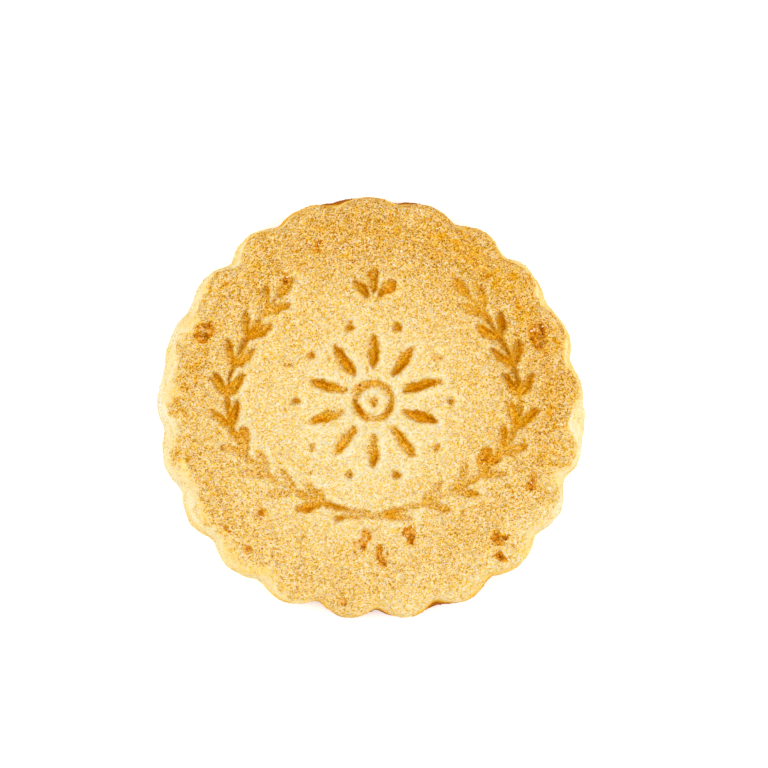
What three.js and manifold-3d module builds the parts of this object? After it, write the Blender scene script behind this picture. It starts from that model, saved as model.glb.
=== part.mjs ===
// A round shortbread biscuit with a fluted edge and a pressed ornament on its face: one solid piece.
// Millimetres and degrees, +Z up. The origin is the middle of the flat underside, which rests on the
// table, and the pressed face looks up. +Y is the way that the top of the ornament points.
import * as THREE from "three";
import { mergeVertices } from "three/addons/utils/BufferGeometryUtils.js";
import Module from "manifold-3d";

// ---- Driving dimensions ----
const RADIUS = 30.4; // out to the crests of the flutes, at the foot
const THICKNESS = 8;
const FLUTES = 21;
const FIRST_CREST = 5.6; // angle of one crest from +X
const FLUTE_DEPTH_FOOT = 1.0; // crest to valley at the table
const FLUTE_DEPTH_FACE = 1.4; // crest to valley at the top edge
const VALLEY_SOFTNESS = 0.25; // 0 is a sharp valley, 1 nearly a sine
const FOOT_ROUND = 0.5; // radius of the bottom edge
const SHOULDER_ROUND = 1.5; // radius of the top edge
const RIM_WIDTH = 4; // the band of the face that follows the flutes
const PRESS_DEPTH = 0.75; // of the ornament, at its deepest

// The wall leans in towards the face, more at its two sides than at its top and bottom.
const LEAN_MEAN = 0.75;
const LEAN_SIDEWAYS = 0.45;

// Slow waves that make the biscuit a little out of round: waves per turn, height, angle of a crest.
const OUT_OF_ROUND = [
  { waves: 2, height: 0.2, crest: -17 },
  { waves: 3, height: 0.17, crest: -32 },
];
// The flutes are cut unevenly deep, by these shares of their depth.
const DEPTH_WANDER = [
  { waves: 1, height: 0.21, crest: -64 },
  { waves: 5, height: 0.16, crest: -17 },
];
// Dough that crept out into a few valleys near the foot: angle and how far.
const CREPT_OUT = [
  { turn: 83, reach: 0.2 },
  { turn: 98, reach: 0.45 },
  { turn: 168.5, reach: 0.35 },
  { turn: 288.5, reach: 0.5 },
  { turn: 357, reach: 1.15 },
];
const CREEP_WIDTH = 3.8; // degrees
const CREEP_HEIGHT = 4;

// Steps of the faceted solid.
const STEPS_PER_FLUTE = 8;
const ARC_STEPS = 2;
const STEM_STEPS = 20;
const OVAL_STEPS = [10, 4]; // round its middle and over its top
const RING_STEPS = [6, 24]; // round its section and along it
const SMALLEST_DETAIL = 0.01; // edges that matter less than this are merged

// ---- The ornament: two crossed wheat ears round a daisy. Places are from the middle of the face. ----
const EAR = {
  route: [
    [-5.2, -15.4],
    [13, -14.6],
    [31, -4],
    [14, 15.6],
  ],
  stemWidth: 0.95,
  pairs: 9,
  firstPair: 0.25, // share of the stem
  lastPair: 0.95,
  grain: [4.1, 1.5],
  splay: 32,
};
const DAISY = {
  middle: [0, 1.2],
  petals: 10,
  petal: [5.2, 1.7],
  petalReach: 9.6,
  heartRadius: 2.5,
  heartWidth: 1.1,
  eye: 1.5,
  dot: 1.3,
  dotReach: 11,
};
const TREFOIL = { middle: [0, 15.6], leaves: 3, leaf: [3.4, 1.5], reach: 4, spread: 46 };

// ---- Pits where crumbs tore out of the face: place, long and wide size, turn of the long side ----
const PIT_DEPTH = 0.55;
const PITS = [
  { at: [19.8, 10.0], size: [4.2, 2.2], turn: -58 },
  { at: [-22.8, 11.5], size: [2.0, 1.5], turn: 40 },
  { at: [-17.0, 10.7], size: [1.3, 0.8], turn: 70 },
  { at: [-16.1, -14.6], size: [1.6, 1.1], turn: -40 },
  { at: [-21.0, -17.3], size: [1.1, 0.7], turn: 80 },
  { at: [-17.7, -20.2], size: [1.2, 0.8], turn: -30 },
  { at: [-1.0, -18.8], size: [4.0, 1.6], turn: 72 },
  { at: [1.6, -20.6], size: [2.0, 0.9], turn: -80 },
  { at: [5.9, -16.9], size: [1.9, 1.0], turn: -72 },
  { at: [18.3, -17.9], size: [1.6, 1.2], turn: -45 },
  { at: [18.9, -20.9], size: [1.7, 0.8], turn: -25 },
  { at: [23.0, -10.4], size: [2.7, 0.6], turn: 76 },
];

// ---- Small helpers ----
const { degToRad, radToDeg, lerp, euclideanModulo } = THREE.MathUtils;

// A sum of slow waves round the edge, at an angle in degrees.
function waves(list, angle) {
  return list.reduce((sum, w) => sum + w.height * Math.cos(degToRad(w.waves * (angle - w.crest))), 0);
}

// The point at a distance from another, in a direction.
function along([x, y], direction, distance) {
  return [x + distance * Math.cos(degToRad(direction)), y + distance * Math.sin(degToRad(direction))];
}

// ---- The edge ----
// 0 on a flute's crest and 1 in its valley: a softened |cos|, broad on the crest and narrow in the valley.
function valley(angle) {
  const phase = degToRad((FLUTES * (angle - FIRST_CREST)) / 2);
  const soft = Math.hypot(Math.cos(phase), VALLEY_SOFTNESS) - VALLEY_SOFTNESS;
  return 1 - soft / (Math.hypot(1, VALLEY_SOFTNESS) - VALLEY_SOFTNESS);
}

// How far the crept dough stands out. It fades sideways and upwards.
function creep(angle, height) {
  return CREPT_OUT.reduce((sum, { turn, reach }) => {
    const off = euclideanModulo(angle - turn + 180, 360) - 180;
    return sum + reach * Math.exp(-((off / CREEP_WIDTH) ** 2) - (height / CREEP_HEIGHT) ** 2);
  }, 0);
}

// How far the wall stands in from a plain cylinder.
function inset(angle, height) {
  const up = height / THICKNESS;
  const lean = (LEAN_MEAN + LEAN_SIDEWAYS * Math.cos(degToRad(2 * angle))) * up;
  const cut = lerp(FLUTE_DEPTH_FOOT, FLUTE_DEPTH_FACE, up) * (1 + waves(DEPTH_WANDER, angle)) * valley(angle);
  return lean + cut - waves(OUT_OF_ROUND, angle) - creep(angle, height);
}

// The biscuit before it is pressed: a turned disc with a rounded foot and shoulder, whose wall and
// rim are then pushed in. A step of the turned disc falls on each crest and each valley.
function disc() {
  const wall = RADIUS;
  const foot = FOOT_ROUND;
  const shoulder = SHOULDER_ROUND;
  const profile = new THREE.Path();
  profile.moveTo(0, 0);
  profile.lineTo(wall - foot, 0);
  profile.absarc(wall - foot, foot, foot, -Math.PI / 2, 0, false);
  profile.lineTo(wall, THICKNESS / 3);
  profile.lineTo(wall, THICKNESS - shoulder);
  profile.absarc(wall - shoulder, THICKNESS - shoulder, shoulder, 0, Math.PI / 2, false);
  profile.lineTo(wall - RIM_WIDTH, THICKNESS);
  profile.lineTo(0, THICKNESS);
  const points = profile.getPoints(ARC_STEPS);
  const turned = new THREE.LatheGeometry(points, FLUTES * STEPS_PER_FLUTE, degToRad(FIRST_CREST + 90));
  turned.rotateX(Math.PI / 2);

  const place = turned.getAttribute("position");
  for (let i = 0; i < place.count; i++) {
    const [x, y, z] = [place.getX(i), place.getY(i), place.getZ(i)];
    const radius = Math.hypot(x, y);
    if (radius < 0.99 * (wall - RIM_WIDTH)) continue;
    const angle = radToDeg(Math.atan2(y, x));
    place.setXYZ(i, ...along([0, 0], angle, radius - inset(angle, z)), z);
  }
  return turned;
}

// ---- The die's raised shapes, which press the ornament ----
// An oval boss: a grain, a petal, a leaf or a dot.
function oval(middle, [length, width], turn = 0, depth = PRESS_DEPTH) {
  const boss = new THREE.SphereGeometry(1, ...OVAL_STEPS);
  boss.rotateX(Math.PI / 2);
  boss.scale(length / 2, width / 2, depth);
  boss.rotateZ(degToRad(turn));
  return boss.translate(...middle, THICKNESS);
}

// An oval boss that starts at a point and lies along a direction.
function blade(start, size, direction) {
  return oval(along(start, direction, size[0] / 2), size, direction);
}

// A ring boss.
function ring(middle, radius, width) {
  const boss = new THREE.TorusGeometry(radius, width / 2, ...RING_STEPS);
  boss.scale(1, 1, PRESS_DEPTH / (width / 2));
  return boss.translate(...middle, THICKNESS);
}

// A rounded rib along a curve on the face.
function rib(curve, width) {
  const section = new THREE.Shape().absellipse(0, 0, PRESS_DEPTH, width / 2, 0, Math.PI * 2, false, 0);
  const sides = new THREE.Shape(section.getPoints(4).slice(0, -1));
  return new THREE.ExtrudeGeometry(sides, { steps: STEM_STEPS, bevelEnabled: false, extrudePath: curve });
}

// A wheat ear: a bent stem, pairs of grains along it and one at its tip. side is 1 for the ear that
// bends to the right and -1 for its mirror image.
function ear(side) {
  const stem = new THREE.CubicBezierCurve3(
    ...EAR.route.map(([x, y]) => new THREE.Vector3(side * x, y, THICKNESS)),
  );
  const grainAt = (share, splay) => {
    const spot = stem.getPointAt(share);
    const way = stem.getTangentAt(share);
    return blade([spot.x, spot.y], EAR.grain, radToDeg(Math.atan2(way.y, way.x)) + splay);
  };
  const grains = [];
  for (let pair = 0; pair < EAR.pairs; pair++) {
    const share = lerp(EAR.firstPair, EAR.lastPair, pair / (EAR.pairs - 1));
    grains.push(grainAt(share, EAR.splay), grainAt(share, -EAR.splay));
  }
  return [rib(stem, EAR.stemWidth), ...grains, grainAt(1, 0)];
}

// A daisy: petals round a ring with an eye, and a dot beyond each gap between two petals.
function daisy() {
  const { middle, petals, petal, petalReach, dot, dotReach } = DAISY;
  const bosses = [ring(middle, DAISY.heartRadius, DAISY.heartWidth), oval(middle, [DAISY.eye, DAISY.eye])];
  for (let i = 0; i < petals; i++) {
    const direction = 90 + (360 * i) / petals;
    const between = direction + 180 / petals;
    bosses.push(blade(along(middle, direction, petalReach - petal[0]), petal, direction));
    bosses.push(oval(along(middle, between, dotReach), [dot, dot]));
  }
  return bosses;
}

// Three leaves fanned out upwards from a point.
function trefoil() {
  const { middle, leaves, leaf, reach, spread } = TREFOIL;
  return Array.from({ length: leaves }, (_, i) => {
    const direction = 90 + spread * (i - (leaves - 1) / 2);
    return blade(along(middle, direction, reach - leaf[0]), leaf, direction);
  });
}

// ---- Pressing: the disc less every boss and pit ----
const wasm = await Module();
wasm.setup();

function solidOf(geometry) {
  geometry.deleteAttribute("normal");
  geometry.deleteAttribute("uv");
  const merged = mergeVertices(geometry);
  const vertProperties = merged.getAttribute("position").array;
  const triVerts = new Uint32Array(merged.index.array);
  return new wasm.Manifold(new wasm.Mesh({ numProp: 3, vertProperties, triVerts }));
}

function geometryOf(solid) {
  const { vertProperties, triVerts } = solid.getMesh();
  const geometry = new THREE.BufferGeometry();
  geometry.setAttribute("position", new THREE.BufferAttribute(vertProperties, 3));
  geometry.setIndex(new THREE.BufferAttribute(triVerts, 1));
  const faceted = geometry.toNonIndexed();
  faceted.computeVertexNormals();
  return faceted;
}

function pressedBiscuit() {
  const pits = PITS.map(({ at, size, turn }) => oval(at, size, turn, PIT_DEPTH));
  const bosses = [...ear(1), ...ear(-1), ...daisy(), ...trefoil(), ...pits];
  const die = bosses.map(solidOf).reduce((all, boss) => all.add(boss));
  const pressed = solidOf(disc()).subtract(die);
  return geometryOf(pressed.asOriginal().simplify(SMALLEST_DETAIL));
}

const bakedDough = new THREE.MeshStandardMaterial({ color: 0xeec574, roughness: 0.85, metalness: 0 });
const biscuit = new THREE.Mesh(pressedBiscuit(), bakedDough);
biscuit.name = "biscuit";

const part = new THREE.Group();
part.add(biscuit);
export default part;
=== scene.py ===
"""A round shortbread biscuit with a fluted edge, lying on a pale floor with its pressed face up.

Shapes are worked out in millimetres and degrees as whole numpy arrays, and turned to metres where a
mesh is made. The origin is the middle of the underside, +Z is up and +Y is the top of the ornament.
"""

import bmesh
import bpy
import numpy as np
from mathutils import Matrix, Vector


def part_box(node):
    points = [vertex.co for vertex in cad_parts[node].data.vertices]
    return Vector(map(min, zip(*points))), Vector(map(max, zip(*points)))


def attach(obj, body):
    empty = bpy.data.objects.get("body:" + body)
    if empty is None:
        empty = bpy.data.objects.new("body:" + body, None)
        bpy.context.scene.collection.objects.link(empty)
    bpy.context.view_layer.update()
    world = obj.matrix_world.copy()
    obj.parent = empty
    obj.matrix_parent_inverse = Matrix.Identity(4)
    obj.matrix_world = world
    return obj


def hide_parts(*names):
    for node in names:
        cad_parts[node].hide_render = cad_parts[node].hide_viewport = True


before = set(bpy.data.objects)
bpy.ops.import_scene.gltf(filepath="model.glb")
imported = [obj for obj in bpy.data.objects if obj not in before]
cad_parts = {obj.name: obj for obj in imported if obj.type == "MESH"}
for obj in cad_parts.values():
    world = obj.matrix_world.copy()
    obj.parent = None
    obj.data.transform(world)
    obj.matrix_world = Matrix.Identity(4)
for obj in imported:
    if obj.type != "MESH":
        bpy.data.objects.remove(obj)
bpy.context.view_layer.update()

MM = 0.001  # metres in a millimetre

# ---- The biscuit's sizes, in mm and degrees ----
low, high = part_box("biscuit")
THICKNESS = (high[2] - low[2]) / MM
FACE = THICKNESS - 0.2  # the face lies this high, and its grains stand up to the full thickness
RADIUS = 30.4  # out to the crests of the flutes, at the foot
FLUTES = 21
FIRST_CREST = 5.6
FLUTE_DEPTH = (1.0, 1.4)  # crest to valley, at the table and at the top edge
VALLEY_SOFTNESS = 0.25
FOOT_ROUND = 0.5
SHOULDER_ROUND = 1.5
LEAN = (1.2, 0.25)  # how far the top edge stands in from the foot, along X and along Y
OUT_OF_ROUND = ((2, 0.33, -18), (3, 0.21, -35))  # waves per turn, height, angle of a crest
DEPTH_WANDER = ((1, 0.21, -64), (5, 0.16, -17))
CREPT_OUT = (  # pale dough that crept out over the foot: angle, reach
    (19, 0.35),
    (33.5, 0.25),
    (43.5, 0.45),
    (168, 0.35),
    (225, 0.25),
    (240, 0.3),
    (357, 1.3),
)
CREEP_HEIGHT = 4.0
SKIRTS = ((80.3, 0.45), (99.3, 0.5), (288.5, 0.45))  # low, browned dough that ran out on the baking sheet
SKIRT_HEIGHT = 2.6
DEEP_VALLEYS = ((134, 0.45), (254, 0.25))  # angle, how much deeper
VALLEY_WIDTH = 3.8  # degrees
EDGE_DROOP = 0.3  # how much lower the face lies at its rim
PORE_DEPTH = 0.18
BASE_PIT_DEPTH = 0.12

# ---- The ornament: two crossed wheat ears round a daisy, and a trefoil ----
# A grain, a petal and a leaf have a length and a width. A reach is how far from its figure's middle a
# petal or a leaf ends, or a dot lies.
PRESS_DEPTH = 0.75
LIP_HEIGHT = 0.1  # of the dough pushed up beside a stroke
SIDE_STEP = 0.3  # how far aside the slope of the distance is felt
EAR_ROUTE = ((-5.2, -15.4), (13, -14.6), (31, -4), (14, 15.6))
STEM_WIDTH = 0.95
STEM_CHORDS, CHORD_POINTS = 40, 6  # straight pieces of a stem, and steps in each for its length
GRAIN_PAIRS = 9
GRAIN_SHARES = (0.25, 0.95)  # of the stem, for the first pair and the last
GRAIN = (4.1, 1.5)
GRAIN_SPLAY = 32  # degrees off the stem
DAISY_MIDDLE = (0, 1.2)
PETALS = 10
PETAL = (5.2, 1.7)
PETAL_REACH = 9.6
HEART_RADIUS, HEART_WIDTH, EYE = 2.5, 1.1, 1.5
DOT, DOT_REACH = 1.3, 11
TREFOIL_MIDDLE = (0, 15.6)
LEAF, LEAF_REACH, LEAF_SPREAD = (3.4, 1.5), 4, 46

# ---- Pits where crumbs tore out: place, long and wide size, turn of the long side ----
PIT_DEPTH = 0.45
PITS = (
    ((23.4, 10.5), (3.7, 2.3), -58),
    ((-24.2, 10.9), (3.0, 2.4), 40),
    ((-12.4, 18.6), (1.7, 1.1), 70),
    ((-16.1, -14.6), (1.9, 1.5), -40),
    ((-21.0, -17.3), (1.5, 1.0), 80),
    ((-17.7, -20.2), (1.5, 1.1), -30),
    ((-1.6, -18.5), (4.2, 2.0), 72),
    ((1.2, -20.8), (3.1, 1.2), -80),
    ((5.4, -17.9), (2.5, 1.5), -72),
    ((17.6, -18.2), (2.4, 1.9), -45),
    ((18.1, -20.9), (1.9, 1.0), -25),
    ((22.6, -10.5), (3.0, 1.2), 78),
    ((-4.7, -27.6), (1.8, 1.2), 15),
    ((-7.9, 23.6), (1.5, 1.1), 80),
)

# ---- How finely the biscuit is meshed ----
FACE_RINGS = 140  # ring n has 6n points, so the rim has 40 points to a flute
SHOULDER_ROWS, WALL_ROWS, FOOT_ROWS = 7, 14, 3
BASE_SHARE = 0.995  # the underside's last ring lies this far out, inside the foot's last row
WALL_END = 2.003  # "down" is 0 to 1 over the face, 1 to 2 down the wall and over this on the underside
LATTICE = 64  # cells to a side of the random lattices, after which they repeat

# ---- The bake's map: the two discs' middles, and how far out each part reaches ----
TOP_MIDDLE, BASE_MIDDLE = (0.44, 0.44), (0.85, 0.85)
FACE_REACH, WALL_REACH, BASE_REACH = 0.325, 0.105, 0.146
CELL_FILL = 0.8  # how much of its cell a loose grain takes on its own map

# ---- How uneven the loose grains are, as shares of their size ----
GRAIN_STRETCH = (0.75, 1.15)  # along each axis
CORNER_PUSH = (0.8, 1.2)  # each corner in or out
CRUMB_SUNK, SUGAR_SUNK = 0.42, 0.35


# ---- Small maths ----
def cosd(angle):
    """Cosine of degrees."""
    return np.cos(np.radians(angle))


def ramp(value, start, end):
    """0 before start, 1 after end, and the smooth cubic 3t^2 - 2t^3 between them."""
    t = np.clip((value - start) / (end - start), 0, 1)
    return t * t * (3 - 2 * t)


def towards(turn, direction, start, end):
    """A ramp over the cosine of the angle away from a direction round the biscuit."""
    return ramp(cosd(turn - direction), start, end)


def bell(value, middle, width):
    """1 at the middle, falling as exp(-x^2) with x the distance from it in widths."""
    return np.exp(-(((value - middle) / width) ** 2))


def along(point, direction, distance):
    """The point at a distance from another, in a direction."""
    turn = np.radians(direction)
    return np.array(point) + distance * np.stack([np.cos(turn), np.sin(turn)], -1)


def noise(places, size, seed):
    """Smooth lumps of about a size, mostly -1 to 1: random numbers on a cubic lattice, blended between
    the eight corners round each place with the fade 6t^5 - 15t^4 + 10t^3. Each use has its own seed."""
    lattice = np.random.default_rng(seed).uniform(-1.6, 1.6, (LATTICE,) * 3)
    cell = np.floor(places / size).astype(int)
    t = places / size - cell
    fade = t**3 * (t * (t * 6 - 15) + 10)
    total = np.zeros(len(places))
    for corner in np.ndindex(2, 2, 2):
        weight = np.prod(np.where(corner, fade, 1 - fade), axis=1)
        total += weight * lattice[tuple(((cell + corner) % LATTICE).T)]
    return total


def grain_gap(places, size, seed):
    """Distance to the nearest grain's middle, in grain sizes: one middle is set at random in each cell
    of a cubic lattice, and the nearest of the 27 cells round each place is taken."""
    middles = np.random.default_rng(seed).uniform(0, 1, (LATTICE, LATTICE, LATTICE, 3))
    cell = np.floor(places / size).astype(int)
    nearest = np.full(len(places), 9.0)
    for step in np.ndindex(3, 3, 3):
        near = cell + step - 1
        spot = near + middles[tuple((near % LATTICE).T)]
        nearest = np.minimum(nearest, np.linalg.norm(places / size - spot, axis=1))
    return nearest


# ---- The fluted edge ----
def waves(table, turn):
    """A sum of cosines round the edge, each with its count of waves, height and the angle of a crest."""
    return sum(height * cosd(count * (turn - crest)) for count, height, crest in table)


def valley(turn):
    """0 on a flute's crest and 1 in its valley: a |cos| softened by a hypotenuse, so that crests are
    broad and valleys narrow."""
    wave = cosd(FLUTES * (turn - FIRST_CREST) / 2)
    soft = np.hypot(wave, VALLEY_SOFTNESS) - VALLEY_SOFTNESS
    return 1 - soft / (np.hypot(1, VALLEY_SOFTNESS) - VALLEY_SOFTNESS)


def bells_round(table, turn):
    """A sum of bells round the edge, each at an angle, with a height, and as wide as a valley."""
    return sum(reach * bell((turn - at + 180) % 360 - 180, 0, VALLEY_WIDTH) for at, reach in table)


def creep(turn, height):
    """How far crept dough stands out: bells round the edge, fading upwards as bells, high for the dough
    that crept out and low for the skirts."""
    crept = bells_round(CREPT_OUT, turn) * bell(height, 0, CREEP_HEIGHT)
    return crept + bells_round(SKIRTS, turn) * bell(height, 0, SKIRT_HEIGHT)


def inset(turn, height):
    """How far the wall stands in from a cylinder: the flutes, less the slow waves and the crept dough."""
    depth = FLUTE_DEPTH[0] + (FLUTE_DEPTH[1] - FLUTE_DEPTH[0]) * height / THICKNESS
    cut = depth * (1 + waves(DEPTH_WANDER, turn)) * valley(turn) + bells_round(DEEP_VALLEYS, turn)
    return cut - waves(OUT_OF_ROUND, turn) - creep(turn, height)


# ---- The biscuit's grid ----
def disc_lattice(rings):
    """Points and triangles of a disc: ring n has 6n points. Returns each point's ring and its share of a
    turn, and the triangles, one on each edge of a ring's outside and one on each edge of its inside."""
    ring = np.repeat(np.arange(1, rings + 1), 6 * np.arange(1, rings + 1))
    first = 1 + 3 * ring * (ring - 1)
    number = np.arange(1, len(ring) + 1)
    step = number - first
    sextant, part = step // ring, step % ring
    after = first + (step + 1) % (6 * ring)

    inner_first = np.maximum(first - 6 * (ring - 1), 0)
    inner_step = (sextant * (ring - 1) + part) % np.maximum(6 * (ring - 1), 1)
    outward = np.stack([number, after, inner_first + inner_step], -1)
    outer_step = (sextant * (ring + 1) + part + 1) % (6 * (ring + 1))
    inward = np.stack([after, number, first + 6 * ring + outer_step], -1)
    triangles = np.concatenate([outward, inward[ring < rings]])
    return np.r_[0, ring], np.r_[0, step / (6 * ring)], triangles


def wall_profile():
    """Rows from the face's edge down to the underside's edge, as insets from the wall and heights: a
    quarter circle, a straight wall and a smaller quarter circle."""
    top = np.linspace(0, 90, SHOULDER_ROWS + 1)[1:]
    foot = np.linspace(0, 90, FOOT_ROWS + 1)[1:]
    heights = np.linspace(FACE - SHOULDER_ROUND, FOOT_ROUND, WALL_ROWS + 1)[1:]
    shoulder_in = SHOULDER_ROUND * (1 - cosd(90 - top))
    foot_in = FOOT_ROUND * (1 - cosd(foot))
    insets = np.r_[shoulder_in, 0 * heights, foot_in]
    shoulder_levels = FACE - SHOULDER_ROUND * (1 - cosd(top))
    foot_levels = FOOT_ROUND * (1 - cosd(90 - foot))
    return insets, np.r_[shoulder_levels, heights, foot_levels]


def band(first, second, count):
    """Triangles between two rings of the same count of points, the first above the second."""
    here = np.arange(count)
    after = (here + 1) % count
    upper = np.stack([first + here, second + here, second + after], -1)
    return np.concatenate([upper, np.stack([first + here, second + after, first + after], -1)])


def halving_band(fine, coarse, count):
    """Triangles from a ring of 2 x count points down to one of count points, three to each coarse edge."""
    here = np.arange(count)
    after = (here + 1) % count
    left, middle, right = fine + 2 * here, fine + 2 * here + 1, fine + 2 * after
    here, after = coarse + here, coarse + after
    sides = [(left, here, middle), (middle, here, after), (middle, after, right)]
    return np.concatenate([np.stack(corners, -1) for corners in sides])


def biscuit_grid():
    """The closed grid of the whole biscuit before any unevenness: a disc for the face, rows of rings for
    the wall and a coarser disc for the underside, each point at its radius less the wall's inset there.
    Returns places, triangles and, for each point, its turn and how far out and down it lies: 0 to 1 over
    the face, 1 to 2 down the wall, and from there to 3 at the middle of the underside."""
    ring, share, face_triangles = disc_lattice(FACE_RINGS)
    turn = 360 * share + FIRST_CREST
    out = ring / FACE_RINGS
    radius = out * (RADIUS - SHOULDER_ROUND) - inset(turn, FACE) * out**6
    heights = np.full(len(turn), FACE)

    around = 6 * FACE_RINGS
    rim_turn = 360 * np.arange(around) / around + FIRST_CREST
    insets, levels = wall_profile()
    wall_turn = np.tile(rim_turn, len(levels))
    wall_level = np.repeat(levels, around)
    wall_radius = RADIUS - np.repeat(insets, around) - inset(wall_turn, wall_level)

    base_rings = FACE_RINGS // 2
    base_ring, base_share, base_triangles = disc_lattice(base_rings)
    base_turn = 360 * base_share + FIRST_CREST
    base_out = base_ring / base_rings * BASE_SHARE
    base_radius = base_out * (RADIUS - FOOT_ROUND) - inset(base_turn, 0) * base_out**6

    face_points, wall_points = len(turn), len(wall_turn)
    rim = face_points - around
    triangles = [face_triangles, band(rim, face_points, around)]
    for row in range(len(levels) - 1):
        start = face_points + row * around
        triangles.append(band(start, start + around, around))
    base = face_points + wall_points
    base_rim = base + len(base_turn) - 6 * base_rings
    triangles.append(halving_band(base - around, base_rim, around // 2))
    triangles.append(base + base_triangles[:, ::-1])

    turn = np.r_[turn, wall_turn, base_turn]
    radius = np.r_[radius, wall_radius, base_radius]
    heights = np.r_[heights, wall_level, 0 * base_turn]
    places = np.column_stack([radius * cosd(turn), radius * cosd(turn - 90), heights])
    places[:, :2] *= 1 - np.outer(heights / THICKNESS, LEAN) / RADIUS
    down = np.r_[out, 1 + (FACE - wall_level) / FACE, 3 - base_out]
    return places, np.concatenate(triangles), turn, down


def normals_of(places, triangles):
    """Unit normals at the points: the sum of the cross products of the triangles round each."""
    a, b, c = (places[triangles[:, k]] for k in range(3))
    across = np.cross(b - a, c - a)
    total = np.zeros_like(places)
    for k in range(3):
        np.add.at(total, triangles[:, k], across)
    return total / np.linalg.norm(total, axis=1, keepdims=True)


# ---- The ornament, as a distance over the face: below 0 inside a stroke ----
def oval_gap(places, middle, size, direction):
    """Distance from an ellipse's outline, by the usual estimate k0 (k0 - 1) / k1, where k0 is the place's
    length in the ellipse's half sizes and k1 the same in their squares."""
    off = places[:, :2] - middle
    u = off @ along((0, 0), direction, 1)
    v = off @ along((0, 0), direction + 90, 1)
    half = np.array(size) / 2
    k0 = np.hypot(u / half[0], v / half[1])
    k1 = np.hypot(u / half[0] ** 2, v / half[1] ** 2)
    return np.where(k1 > 1e-6, k0 * (k0 - 1) / np.maximum(k1, 1e-6), -half[1])


def blade_gap(places, start, size, direction):
    """Distance from an ellipse that starts at a point and lies along a direction."""
    return oval_gap(places, along(start, direction, size[0] / 2), size, direction)


def ear_stem(side):
    """A cubic Bezier curve as a function of t. side is 1 to the right and -1 for the mirror image."""
    a, b, c, d = (np.array(point) * (side, 1) for point in EAR_ROUTE)

    def curve(t):
        t = np.asarray(t)[..., None]
        return (1 - t) ** 3 * a + 3 * (1 - t) ** 2 * t * b + 3 * (1 - t) * t**2 * c + t**3 * d

    return curve


def ear_gap(places, side):
    """Distance from a wheat ear: the nearest of the chords of its stem, less half the stem's width, and
    of its grains, which stand in pairs at even lengths along the stem with one at its tip."""
    stem = ear_stem(side)
    t = np.linspace(0, 1, STEM_CHORDS * CHORD_POINTS + 1)
    points = stem(t)
    length = np.r_[0, np.cumsum(np.linalg.norm(np.diff(points, axis=0), axis=1))]
    gap = np.full(len(places), 99.0)
    for start, end in zip(points[:-1:CHORD_POINTS], points[CHORD_POINTS::CHORD_POINTS]):
        way = end - start
        part = np.clip((places[:, :2] - start) @ way / (way @ way), 0, 1)
        gap = np.minimum(gap, np.linalg.norm(places[:, :2] - start - part[:, None] * way, axis=1))
    gap -= STEM_WIDTH / 2

    shares = np.linspace(*GRAIN_SHARES, GRAIN_PAIRS)
    grains = [(share, splay) for share in shares for splay in (-GRAIN_SPLAY, GRAIN_SPLAY)]
    for share, splay in [*grains, (1, 0)]:
        at = np.interp(share * length[-1], length, t)
        dx, dy = stem(min(at + 0.005, 1)) - stem(at - 0.005)
        heading = np.degrees(np.arctan2(dy, dx))
        gap = np.minimum(gap, blade_gap(places, stem(at), GRAIN, heading + splay))
    return gap


def daisy_gap(places):
    """Distance from a daisy: a ring with an eye, petals round it and a dot beyond each gap."""
    off = np.linalg.norm(places[:, :2] - DAISY_MIDDLE, axis=1)
    gap = np.minimum(np.abs(off - HEART_RADIUS) - HEART_WIDTH / 2, off - EYE / 2)
    for petal in range(PETALS):
        direction = 90 + 360 * petal / PETALS
        start = along(DAISY_MIDDLE, direction, PETAL_REACH - PETAL[0])
        dot = along(DAISY_MIDDLE, direction + 180 / PETALS, DOT_REACH)
        gap = np.minimum(gap, blade_gap(places, start, PETAL, direction))
        gap = np.minimum(gap, np.linalg.norm(places[:, :2] - dot, axis=1) - DOT / 2)
    return gap


def trefoil_gap(places):
    """Distance from three leaves fanned out upwards."""
    fan = [90 + LEAF_SPREAD * k for k in (-1, 0, 1)]
    starts = [along(TREFOIL_MIDDLE, direction, LEAF_REACH - LEAF[0]) for direction in fan]
    return np.minimum.reduce([blade_gap(places, *leaf) for leaf in zip(starts, [LEAF] * 3, fan)])


def ornament_gap(places):
    """Distance from the nearest stroke of the ornament."""
    ears = [ear_gap(places, side) for side in (1, -1)]
    return np.minimum.reduce([*ears, daisy_gap(places), trefoil_gap(places)])


def pit_gap(places):
    """Distance from the nearest torn pit."""
    return np.minimum.reduce([oval_gap(places, *pit) for pit in PITS])


# ---- Pressing, tearing, browning and painted shade ----
# In these functions, flat holds the grid's places before any relief, and turn and down come with it.
def ragged_gaps(flat, face):
    """Distances from the ornament's strokes and from the pits, with ragged edges: fine lumps shift each
    distance, and coarse ones widen a stroke where dough tore away. Returns the strokes' distance, the side
    of the nearest stroke (1 to its right and -1 to its left, from the slope of its distance), the pits'
    distance and how torn the dough is."""
    torn = ramp(noise(flat, 3.4, 3), 0.75, 1.1)
    stroke, to_left = np.full((2, len(flat)), 9.0)
    stroke[face] = ornament_gap(flat[face])
    to_left[face] = ornament_gap(flat[face] - (SIDE_STEP, 0, 0))
    right_side = np.clip((stroke - to_left) / SIDE_STEP, -1, 1)
    stroke += 0.1 * noise(flat, 0.55, 1) + 0.1 * noise(flat, 1.3, 2) - 0.4 * torn
    pit = np.full(len(flat), 9.0)
    pit[face] = pit_gap(flat[face])
    pit += 0.28 * noise(flat, 0.7, 4) + 0.2 * noise(flat, 1.5, 5)
    return stroke, right_side, pit, torn


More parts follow.
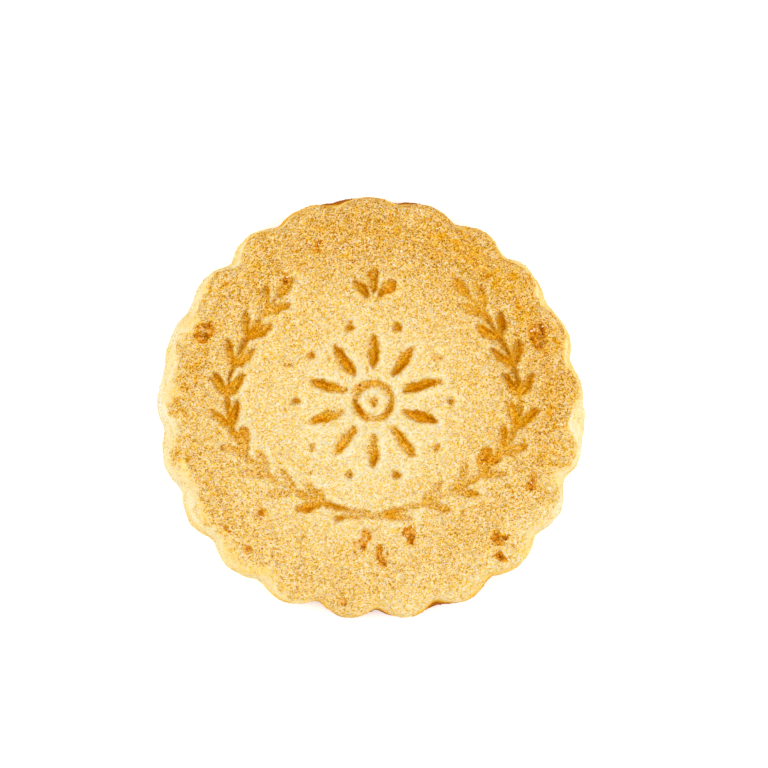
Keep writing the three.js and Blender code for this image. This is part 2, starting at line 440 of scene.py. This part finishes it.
def wall_share(flat, turn, down):
    """0 where the edge still belongs to the sandy face and 1 where it is smooth wall: a ramp 1 mm long
    over the mm past the face's rim. It starts lower over the shoulder at the top and bottom of the
    biscuit, where the face reaches further down, a little higher at the lower left, and is ragged."""
    past = (down - 1) * np.where(down > 1, FACE, RADIUS - SHOULDER_ROUND)
    start = 1.2 * towards(turn, 80, 0, 1) + 0.8 * towards(turn, 280, 0.7, 1)
    start -= 0.2 * towards(turn, 205, 0.5, 1)
    start += 0.3 * noise(flat, 0.6, 25) + 0.45 * noise(flat, 2.4, 26)
    return ramp(past, start, start + 1.0)


def face_browning(flat, turn, down, mottle):
    """How toasted the sandy face is: palest in the middle, rising as a power of the way out, most at the
    upper right and least at the lower left, held back near the rim at the lower right, with mottles, and
    with scorched flecks near the rim, more at the sides and none at the bottom."""
    middle = 0.175 + 0.02 * ramp(down, 0.2, 0.5)
    towards_rim = down**1.6 * (1 - 0.35 * ramp(down, 0.92, 1.03))
    towards_rim -= 0.6 * towards(turn, 310, 0.6, 1) * ramp(down, 0.75, 1)
    rise = 0.3 + 0.12 * cosd(turn - 40)
    flecks = ramp(noise(flat, 0.6, 21) + 0.6 * noise(flat, 3.2, 27), 0.5, 1.3) * np.minimum(down, 1) ** 4
    most = 0.2 + 0.08 * ramp(np.abs(cosd(turn)), 0.6, 1)
    scorch = flecks * most * towards(turn, 270, 1, 0.5)
    return middle + rise * towards_rim + mottle + scorch


def wall_browning_and_painted_shade(flat, turn):
    """How toasted the smooth wall is, with painted shade: pale and mottled; darker at the top and bottom of
    the biscuit, which face away from the lamps at the left and right, partly from browning and partly as
    painted shade, more so the lower it is; brown in ragged patches on the skirts; and with a thin browner
    line at the foot, partly browning and partly painted contact shadow, that fades out on the left."""
    height = flat[:, 2]
    # Extra toast at the top and bottom of the wall, most towards the right: partly browning, partly painted
    # shade.
    ends = np.abs(cosd(turn - 90))
    toast_and_painted_light = 0.09 + 0.07 * noise(flat, 2.6, 19) + 0.05 * noise(flat, 1.1, 28) + 0.1 * ends
    toast_and_painted_light += 0.2 * towards(turn, 285, 0.75, 1)
    skirt = bells_round(SKIRTS, turn) * ramp(height + noise(flat, 1.6, 29), 3.6, 1.2)
    toast_and_painted_light += 0.12 * towards(turn, 65, 0, 1) + 1.9 * skirt * (1 + 0.4 * noise(flat, 1.1, 30))
    # A thin browner line at the foot: partly browning, partly painted contact shadow.
    foot = 0.25 * towards(turn, 180, 0.9, 0.3)
    ends_browning_and_shade = towards(turn, 90, 0.75, 1) + 1.25 * towards(turn, 278, 0.72, 0.95)
    toast_and_painted_light += foot * ramp(height, 1.2, 0.1) + 0.45 * ramp(height, 5, 1) * ends_browning_and_shade
    return toast_and_painted_light


def browning_and_painted_shade(flat, turn, down, base):
    """How toasted the plain dough is, mostly 0 to 1, with the wall's painted shade: the face's toast
    blended into the wall's by the wall's share, and on the underside brown with stronger mottles, and
    browner towards its edge."""
    mottle = 0.02 * noise(flat, 5.5, 17) + 0.02 * noise(flat, 2.1, 18)
    on_face = face_browning(flat, turn, down, mottle)
    on_base = 0.74 + 3 * mottle + 0.12 * ramp(3 - down, 0.8, 1)
    blend = wall_share(flat, turn, down)
    return np.where(base, on_base, on_face * (1 - blend) + wall_browning_and_painted_shade(flat, turn) * blend)


def shaped_biscuit():
    """The biscuit's places in mm, its triangles, its finishes (toast with painted shade and highlight, and
    caramel, from 0 to 1, and how sandy it is) and where each point lies. Each point of the grid moves along
    its normal by the sum of the reliefs: swells, sand, pores, torn floors and pressed strokes, with lips
    mostly on their right."""
    flat, triangles, turn, down = biscuit_grid()
    normals = normals_of(flat, triangles)
    face = down <= 1
    wall = (down > 1) & (down < WALL_END)
    base = ~face & ~wall
    stroke, right_side, pit, torn = ragged_gaps(flat, face)

    # A stroke is pressed clearly here and faintly there, and its left side slopes more gently.
    clearness = np.clip(0.9 + 0.35 * noise(flat, 9, 6) + 0.2 * noise(flat, 2.5, 7), 0.45, 1.15)
    gentle = np.clip(-right_side, 0, 1)
    pressed = ramp(stroke, 0.15 + 0.3 * gentle, -0.5) * clearness
    # Dough pushed up beside a stroke, mostly on its right; the same mask paints a highlight there.
    lip_and_highlight = bell(stroke, 0.5, 0.45) * np.clip(right_side + 0.3 + 0.5 * noise(flat, 2.8, 23), 0, 1.1)
    torn_out = ramp(pit, 0.25, -0.15)

    # The reliefs, in mm
    sand = 0.02 * (0.6 - grain_gap(flat, 0.6, 8)) + 0.015 * noise(flat, 0.3, 9)
    swell = 0.06 * noise(flat, 11, 10) + 0.02 * noise(flat, 3.5, 11)
    pores = ramp(noise(flat, 0.9, 12), np.where(wall, 0.95, 1.1), 1.4)
    rough_wall = 0.07 * noise(flat, 2.1, 13) + 0.05 * noise(flat, 0.8, 14)
    torn_floor = PIT_DEPTH * ramp(pit, 0.2, -1) * (1 + 0.4 * noise(flat, 0.5, 15))
    rise = np.where(face, swell + sand - PRESS_DEPTH * pressed + LIP_HEIGHT * lip_and_highlight - torn_floor, 0)
    rise += np.where(wall, sand + rough_wall * ramp(down, 1, 1.2), 0)
    rise -= PORE_DEPTH * pores * ~base
    rise -= np.where(base, BASE_PIT_DEPTH * ramp(noise(flat, 1.4, 16), 0.5, 1.2), 0)
    places = flat + normals * rise[:, None]
    droop = np.where(face, ramp(down, 0.8, 1) ** 2, ramp(flat[:, 2], 2, FACE))
    places[:, 2] -= EDGE_DROOP * droop
    places[:, 2] = np.clip(places[:, 2], 0, None)

    # Caramel in the pits and in torn strokes. Strokes are brown, partly from toasting and partly as painted
    # shade in the grooves, and browner on their right side, which is painted shade on the groove wall
    # turned from the key light. Beside them the dough is paler, mostly on the right: partly a real paler
    # raised lip, partly a painted highlight where the key light falls. Melted sugar is brown too, but
    # golden at the lower left.
    caramel = torn_out * (0.85 + 0.45 * noise(flat, 0.7, 20)) + 0.5 * torn * ramp(stroke, 0.1, -0.3)
    caramel = np.clip(caramel, 0, 1)
    in_stroke = ramp(stroke, 0.12 + 0.22 * gentle, -0.34 - 0.22 * gentle) * np.minimum(clearness, 1)
    # Pores get more toast on the face: painted shade in the hollows.
    toast_and_painted_light = browning_and_painted_shade(flat, turn, down, base) - 0.13 * lip_and_highlight + 0.2 * pores * face
    # Browner towards a stroke's right side: painted shade on the groove wall turned from the key light.
    toast_and_painted_light += (0.87 + 0.12 * right_side + 0.08 * noise(flat, 1.8, 22) - toast_and_painted_light) * in_stroke
    melted = 0.88 + 0.3 * noise(flat, 0.5, 24) - 0.22 * towards(turn, 245, 0.8, 0.95)
    toast_and_painted_light += (melted - toast_and_painted_light) * caramel

    # Single grains differ most where the dough is gold, less where it is pale or brown, and little on
    # the smooth wall.
    sandy = np.interp(toast_and_painted_light, (0.1, 0.3, 0.5, 0.8), (0.7, 1.05, 1.4, 0.6))
    sandy *= np.where(base, 0.7, 1 - 0.78 * wall_share(flat, turn, down))
    sandy += (1 - sandy) * caramel
    finishes = {"toast_and_painted_light": np.clip(toast_and_painted_light, 0, 1), "caramel": caramel, "sandy": sandy}
    return places, triangles, finishes, turn, down


# ---- Meshes ----
def new_piece(name, places, triangles, material):
    """A mesh object from places in mm and triangles, at the origin, riding on the biscuit's body."""
    mesh = bpy.data.meshes.new(name)
    mesh.vertices.add(len(places))
    mesh.vertices.foreach_set("co", (places * MM).astype(np.float32).ravel())
    mesh.loops.add(triangles.size)
    mesh.loops.foreach_set("vertex_index", triangles.astype(np.int32).ravel())
    mesh.polygons.add(len(triangles))
    mesh.polygons.foreach_set("loop_start", np.arange(0, triangles.size, 3, dtype=np.int32))
    mesh.polygons.foreach_set("use_smooth", np.full(len(triangles), True))
    mesh.update(calc_edges=True)
    mesh.validate()
    mesh.materials.append(material)
    piece = bpy.data.objects.new(name, mesh)
    bpy.context.collection.objects.link(piece)
    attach(piece, "root")
    return piece


def give_values(piece, values):
    """Stores a number for each point of the piece under each name."""
    for name, numbers in values.items():
        attribute = piece.data.attributes.new(name, "FLOAT", "POINT")
        attribute.data.foreach_set("value", numbers.astype(np.float32))


def give_map(piece, flat_map):
    """Stores a place on the bake's map for each point of the piece."""
    corners = np.empty(len(piece.data.loops), dtype=np.int32)
    piece.data.loops.foreach_get("vertex_index", corners)
    layer = piece.data.uv_layers.new(name="OFBake")
    layer.data.foreach_set("uv", flat_map[corners].astype(np.float32).ravel())


def biscuit_map(turn, down):
    """A map of two discs: the face with the wall round it, and the underside in the far corner. A point
    lies at its turn, and as far from its disc's middle as it is out and down."""
    top = down < WALL_END
    out = np.where(down <= 1, FACE_REACH * down, FACE_REACH + WALL_REACH * (down - 1))
    out = np.where(top, out, BASE_REACH * (3 - down))
    middle = np.where(top[:, None], TOP_MIDDLE, BASE_MIDDLE)
    return middle + out[:, None] * np.column_stack([cosd(turn), cosd(turn - 90)])


def grain_shape():
    """An octahedron 1 mm across: the corners on its six half axes, and its eight faces."""
    corners = np.vstack([np.eye(3), -np.eye(3)]) / 2
    faces = [(x, y, z) for x in (0, 3) for y in (1, 4) for z in (2, 5)]
    return corners, np.array([face if sum(face) % 2 else face[::-1] for face in faces])


def bead_shape():
    """A ball 1 mm across, as an icosahedron with its faces split in four."""
    ball = bmesh.new()
    bmesh.ops.create_icosphere(ball, subdivisions=2, radius=0.5)
    corners = np.array([vertex.co for vertex in ball.verts])
    faces = np.array([[vertex.index for vertex in face.verts] for face in ball.faces])
    ball.free()
    return corners, faces


def scattered(dough, count, size, seed, weight, shape, sunk):
    """Many grains on the dough (places, triangles and finishes): a shape's corners, each pushed in or out
    at random, scaled, turned at random and sunk by a share of their size into spots picked by area times
    weight. Returns places and triangles, the dough's finishes under each point's grain, and its spot on
    a map with a cell for each grain."""
    places, triangles, finishes = dough
    rng = np.random.default_rng(seed)
    a, b, c = (places[triangles[:, k]] for k in range(3))
    across = np.cross(b - a, c - a)
    area = np.linalg.norm(across, axis=1)
    chance = area * weight[triangles].mean(axis=1)
    pick = rng.choice(len(triangles), count, p=chance / chance.sum())
    part_b, part_c = rng.uniform(0, 1, (2, count, 1))
    over = part_b + part_c > 1
    part_b, part_c = np.where(over, 1 - part_b, part_b), np.where(over, 1 - part_c, part_c)
    spots = a[pick] + part_b * (b - a)[pick] + part_c * (c - a)[pick]
    up = across[pick] / area[pick, None]

    corners, faces = shape
    turns = np.linalg.qr(rng.normal(size=(count, 3, 3)))[0]
    turns *= np.sign(np.linalg.det(turns))[:, None, None]
    sizes = rng.uniform(*size, (count, 1, 1)) * rng.uniform(*GRAIN_STRETCH, (count, 1, 3))
    lumps = corners * sizes * rng.uniform(*CORNER_PUSH, (count, len(corners), 1))
    spots = spots + up * sizes.mean(axis=2) * (0.5 - sunk)
    made = np.einsum("nij,nkj->nki", turns, lumps) + spots[:, None]
    numbers = faces + len(corners) * np.arange(count)[:, None, None]

    under = {}
    for name, values in finishes.items():
        under[name] = np.repeat(values[triangles[pick]].mean(axis=1), len(corners))
    cells = int(np.ceil(np.sqrt(count)))
    cell = np.stack([np.arange(count) % cells, np.arange(count) // cells], -1)
    uv = (cell[:, None] + 0.5 + CELL_FILL * corners[:, :2]) / cells
    return made.reshape(-1, 3), numbers.reshape(-1, 3), under, uv.reshape(-1, 2)


# ---- Materials ----
# How toasted dough is, and its colour: cream, pale gold, gold, deep gold, orange-brown, brown.
TOASTS = (
    (0.0, "#E3D8B8"),
    (0.22, "#EACC84"),
    (0.42, "#E8BD50"),
    (0.62, "#E2A820"),
    (0.82, "#CF8500"),
    (1.0, "#9A5400"),
)
SUGAR_GRAIN = 0.15  # mm
BROWNEST_GRAIN = 0.92  # of plain dough; only dough that is browner still has browner grains


def linear(colour):
    """An sRGB hex colour as linear red, green, blue and alpha."""
    parts = np.array([int(colour[k : k + 2], 16) for k in (1, 3, 5)]) / 255
    return (*np.where(parts <= 0.04045, parts / 12.92, ((parts + 0.055) / 1.055) ** 2.4), 1.0)


def add(tree, kind, inputs, **settings):
    """Adds a node. Each input is a value, or an output socket that is linked to it."""
    node = tree.nodes.new(kind)
    for name, value in settings.items():
        setattr(node, name, value)
    for name, value in inputs.items():
        if isinstance(value, bpy.types.NodeSocket):
            tree.links.new(value, node.inputs[name])
        else:
            node.inputs[name].default_value = value
    return node


def new_material(name, **settings):
    """A material, its nodes and its Principled shader, whose inputs are set by name, with _ for a space."""
    material = bpy.data.materials.new(name)
    material.use_nodes = True
    shader = material.node_tree.nodes["Principled BSDF"]
    for socket, value in settings.items():
        shader.inputs[socket.replace("_", " ")].default_value = value
    return material, material.node_tree, shader


def baked_shortbread():
    """Butter dough baked dry: sandy grains of flour and sugar that toasted unevenly, from cream through
    gold to brown. It looks matt and soft, and glossier only where sugar melted."""
    looks = {"IOR": 1.45, "Specular_IOR_Level": 0.03}
    soft = {"Subsurface_Weight": 0.1, "Subsurface_Radius": (1.0, 0.45, 0.15), "Subsurface_Scale": 0.4 * MM}
    material, tree, shader = new_material("baked_shortbread", **looks, **soft)
    where = add(tree, "ShaderNodeTexCoord", {}).outputs["Object"]
    # The toast attribute also carries painted shade and highlight from the biscuit.
    toast_and_painted_light = add(tree, "ShaderNodeAttribute", {}, attribute_name="toast_and_painted_light").outputs["Fac"]
    caramel = add(tree, "ShaderNodeAttribute", {}, attribute_name="caramel").outputs["Fac"]
    sandy = add(tree, "ShaderNodeAttribute", {}, attribute_name="sandy").outputs["Fac"]

    # Single grains of sugar, 0.15 mm across, with the flour between them drawn as coarse, because its
    # own grains of 0.05 mm would not show. Each toasted more or less than the dough round it, but not
    # past brown. Each has its own slight tint, darker grains are yellower, and caramel is redder.
    grains = add(tree, "ShaderNodeTexVoronoi", {"Vector": where, "Scale": 1 / (SUGAR_GRAIN * MM)})
    chance = add(tree, "ShaderNodeSeparateColor", {"Color": grains.outputs["Color"]}).outputs
    paleness = add(tree, "ShaderNodeMath", {0: chance["Red"], 1: 0.5}, operation="POWER")
    centred = add(tree, "ShaderNodeMath", {0: paleness.outputs[0], 1: 0.66}, operation="SUBTRACT")
    swing = add(tree, "ShaderNodeMath", {0: centred.outputs[0], 1: sandy}, operation="MULTIPLY")
    grain_toast = {0: swing.outputs[0], 1: -1.0, 2: toast_and_painted_light}
    grain_toast = add(tree, "ShaderNodeMath", grain_toast, operation="MULTIPLY_ADD")
    most = add(tree, "ShaderNodeMath", {0: toast_and_painted_light, 1: BROWNEST_GRAIN}, operation="MAXIMUM")
    held = {0: grain_toast.outputs[0], 1: most.outputs[0]}
    held = add(tree, "ShaderNodeMath", held, operation="MINIMUM")

    colour = add(tree, "ShaderNodeValToRGB", {"Fac": held.outputs[0]})
    elements = colour.color_ramp.elements
    while len(elements) < len(TOASTS):
        elements.new(0.5)
    for element, (position, tint) in zip(elements, TOASTS):
        element.position = position
        element.color = linear(tint)
    hue = {0: chance["Green"], 1: 0.03, 2: 0.485}
    hue = add(tree, "ShaderNodeMath", hue, operation="MULTIPLY_ADD")
    yellower = {0: swing.outputs[0], 1: -0.03, 2: hue.outputs[0]}
    yellower = add(tree, "ShaderNodeMath", yellower, operation="MULTIPLY_ADD")
    redder = {0: caramel, 1: -0.01, 2: yellower.outputs[0]}
    redder = add(tree, "ShaderNodeMath", redder, operation="MULTIPLY_ADD")
    tinted = {"Hue": redder.outputs[0], "Color": colour.outputs["Color"]}
    tinted = add(tree, "ShaderNodeHueSaturation", tinted)
    tree.links.new(tinted.outputs["Color"], shader.inputs["Base Color"])

    gloss = add(tree, "ShaderNodeMath", {0: caramel, 1: -0.3, 2: 0.85}, operation="MULTIPLY_ADD")
    tree.links.new(gloss.outputs[0], shader.inputs["Roughness"])
    grit = {"Height": grains.outputs["Distance"], "Strength": 0.5, "Distance": 0.04 * MM}
    bump = add(tree, "ShaderNodeBump", grit, invert=True)
    tree.links.new(bump.outputs["Normal"], shader.inputs["Normal"])
    return material


def clear_sugar():
    """Coarse sugar that didn't melt: pale, glassy grains that glint, each in its own cream or pale gold,
    from lumps of noise as wide as a grain."""
    looks = {"Roughness": 0.45, "IOR": 1.54, "Specular_IOR_Level": 0.3}
    material, tree, shader = new_material("coarse_sugar", **looks)
    where = add(tree, "ShaderNodeTexCoord", {}).outputs["Object"]
    frost = add(tree, "ShaderNodeTexNoise", {"Vector": where, "Scale": 1 / (0.5 * MM)})
    tints = {0: frost.outputs["Fac"], 6: linear("#FFF2D4"), 7: linear("#FFE6B4")}
    colour = add(tree, "ShaderNodeMix", tints, data_type="RGBA")
    tree.links.new(colour.outputs[2], shader.inputs["Base Color"])
    return material


def melted_sugar():
    """Sugar and butter that ran together and set as caramel: smooth, softly glossy beads, amber to brown
    by how thick each is, from cells as wide as a bead."""
    looks = {"Roughness": 0.35, "IOR": 1.5, "Specular_IOR_Level": 0.06}
    material, tree, shader = new_material("melted_sugar", **looks)
    where = add(tree, "ShaderNodeTexCoord", {}).outputs["Object"]
    drops = add(tree, "ShaderNodeTexVoronoi", {"Vector": where, "Scale": 1 / (0.35 * MM)})
    depth = add(tree, "ShaderNodeSeparateColor", {"Color": drops.outputs["Color"]})
    tints = {0: depth.outputs["Red"], 6: linear("#F2A41C"), 7: linear("#8A4200")}
    colour = add(tree, "ShaderNodeMix", tints, data_type="RGBA")
    tree.links.new(colour.outputs[2], shader.inputs["Base Color"])
    return material


def plain_floor():
    """Matt white paper on a light table, which keeps shadows on it faint."""
    white = linear("#FFFFFF")
    looks = {"Roughness": 1.0, "Base_Color": white, "Emission_Color": white, "Emission_Strength": 0.2}
    return new_material("white_paper", **looks)[0]


# ---- The biscuit and its grains ----
places, triangles, finishes, turn, down = shaped_biscuit()
dough = (places, triangles, finishes)
shortbread = baked_shortbread()
biscuit = new_piece("biscuit_body", places, triangles, shortbread)
give_values(biscuit, finishes)
give_map(biscuit, biscuit_map(turn, down))
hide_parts("biscuit")

# Where grains lie: on sandy dough above the foot, fewer in the strokes; in the pits; and near the rim.
on_top = (places[:, 2] > FOOT_ROUND) * finishes["sandy"] * (1 - 0.7 * ramp(finishes["toast_and_painted_light"], 0.62, 0.8))
in_pits = finishes["caramel"] ** 3 * ramp(finishes["toast_and_painted_light"], 0.62, 0.82)
at_top_and_sides = np.maximum(np.abs(cosd(turn)), towards(turn, 90, 0.3, 1))
near_rim = on_top * ramp(down, 0.55, 0.95) * (0.3 + at_top_and_sides)

# Each kind of crumb: its name, count, sizes, how much more toasted than the dough it is, and where it lies
crumb_kinds = (
    ("pale_crumbs", 24000, (0.13, 0.24), -0.1, on_top),
    ("golden_crumbs", 24000, (0.14, 0.26), 0.0, on_top),
    ("toasted_crumbs", 24000, (0.13, 0.24), 0.1, on_top),
    ("orange_crumbs", 4200, (0.15, 0.28), 0.35, near_rim),
    ("scorched_crumbs", 200, (0.15, 0.26), 0.6, 0.03 * on_top + in_pits),
)
for seed, (name, count, size, shift, weight) in enumerate(crumb_kinds, start=40):
    *mesh, under, flat_map = scattered(dough, count, size, seed, weight, grain_shape(), CRUMB_SUNK)
    under["toast_and_painted_light"] += shift * under["sandy"]
    # The darkest kinds have begun to melt, so they are a little glossier and redder.
    under["caramel"] = np.maximum(under["caramel"], 2 * (shift - 0.1))
    crumbs = new_piece(name, *mesh, shortbread)
    give_values(crumbs, under)
    give_map(crumbs, flat_map)

# Each kind of sugar: its name, count, sizes, where it lies, its material and its shape
sweet_kinds = (
    ("caramel_beads", 240, (0.2, 0.4), in_pits, melted_sugar(), bead_shape()),
    ("sugar_crystals", 42, (0.25, 0.42), in_pits + 0.006 * on_top, clear_sugar(), grain_shape()),
)
for seed, (name, count, size, weight, material, shape) in enumerate(sweet_kinds, start=50):
    *mesh, _, flat_map = scattered(dough, count, size, seed, weight, shape, SUGAR_SUNK)
    give_map(new_piece(name, *mesh, material), flat_map)

# ---- Floor, light and camera ----
FLOOR_SIZE = 20.0  # metres
corners = np.array([(-1, -1, 0), (1, -1, 0), (1, 1, 0), (-1, 1, 0)]) * FLOOR_SIZE / 2
floor_mesh = bpy.data.meshes.new("floor")
floor_mesh.from_pydata(corners.tolist(), [], [(0, 1, 2, 3)])
floor_mesh.materials.append(plain_floor())
floor = bpy.data.objects.new("floor", floor_mesh)
bpy.context.collection.objects.link(floor)


def aimed(thing, place, target, up=(0, 0, 1)):
    """Puts a lamp or the camera at a place in metres, looking at a target."""
    back = (Vector(place) - Vector(target)).normalized()
    right = Vector(up).cross(back).normalized()
    axes = Matrix((right, back.cross(right), back)).transposed()
    thing.matrix_world = Matrix.Translation(place) @ axes.to_4x4()


def soft_box(name, place, size, power):
    """A square studio soft box aimed at the biscuit."""
    lamp = bpy.data.lights.new(name, "AREA")
    lamp.size = size
    lamp.energy = power
    box = bpy.data.objects.new(name, lamp)
    box.visible_camera = False
    bpy.context.collection.objects.link(box)
    aimed(box, place, (0, 0, 0))


soft_box("fill_left", (-1.8, 0.0, 1.9), size=1.6, power=27.7)
soft_box("key_right", (1.9, 0.0, 1.8), size=1.6, power=32.7)

world = bpy.data.worlds.new("studio")
world.use_nodes = True
world.node_tree.nodes["Background"].inputs["Color"].default_value = (1.0, 1.0, 1.0, 1.0)
world.node_tree.nodes["Background"].inputs["Strength"].default_value = 0.8
bpy.context.scene.world = world
bpy.context.scene.view_settings.view_transform = "Standard"

CAMERA_DISTANCE = 0.85
VIEW_WIDTH = 109.2 * MM  # how much of the floor the picture spans
TILT_LEFT, TILT_BELOW = 3.0, 0.5  # degrees off straight down
LOOKED_AT = Vector((1.56, 3.67, 6.0)) * MM
SENSOR_WIDTH = 36.0  # mm
camera_data = bpy.data.cameras.new("camera")
camera_data.sensor_width = SENSOR_WIDTH
camera_data.lens = SENSOR_WIDTH * CAMERA_DISTANCE / VIEW_WIDTH
camera = bpy.data.objects.new("camera", camera_data)
bpy.context.collection.objects.link(camera)
leftwards, downwards = np.tan(np.radians((TILT_LEFT, TILT_BELOW)))
towards_camera = Vector((-leftwards, -downwards, 1)).normalized()
aimed(camera, LOOKED_AT + towards_camera * CAMERA_DISTANCE, LOOKED_AT, up=(0, 1, 0))
bpy.context.scene.camera = camera
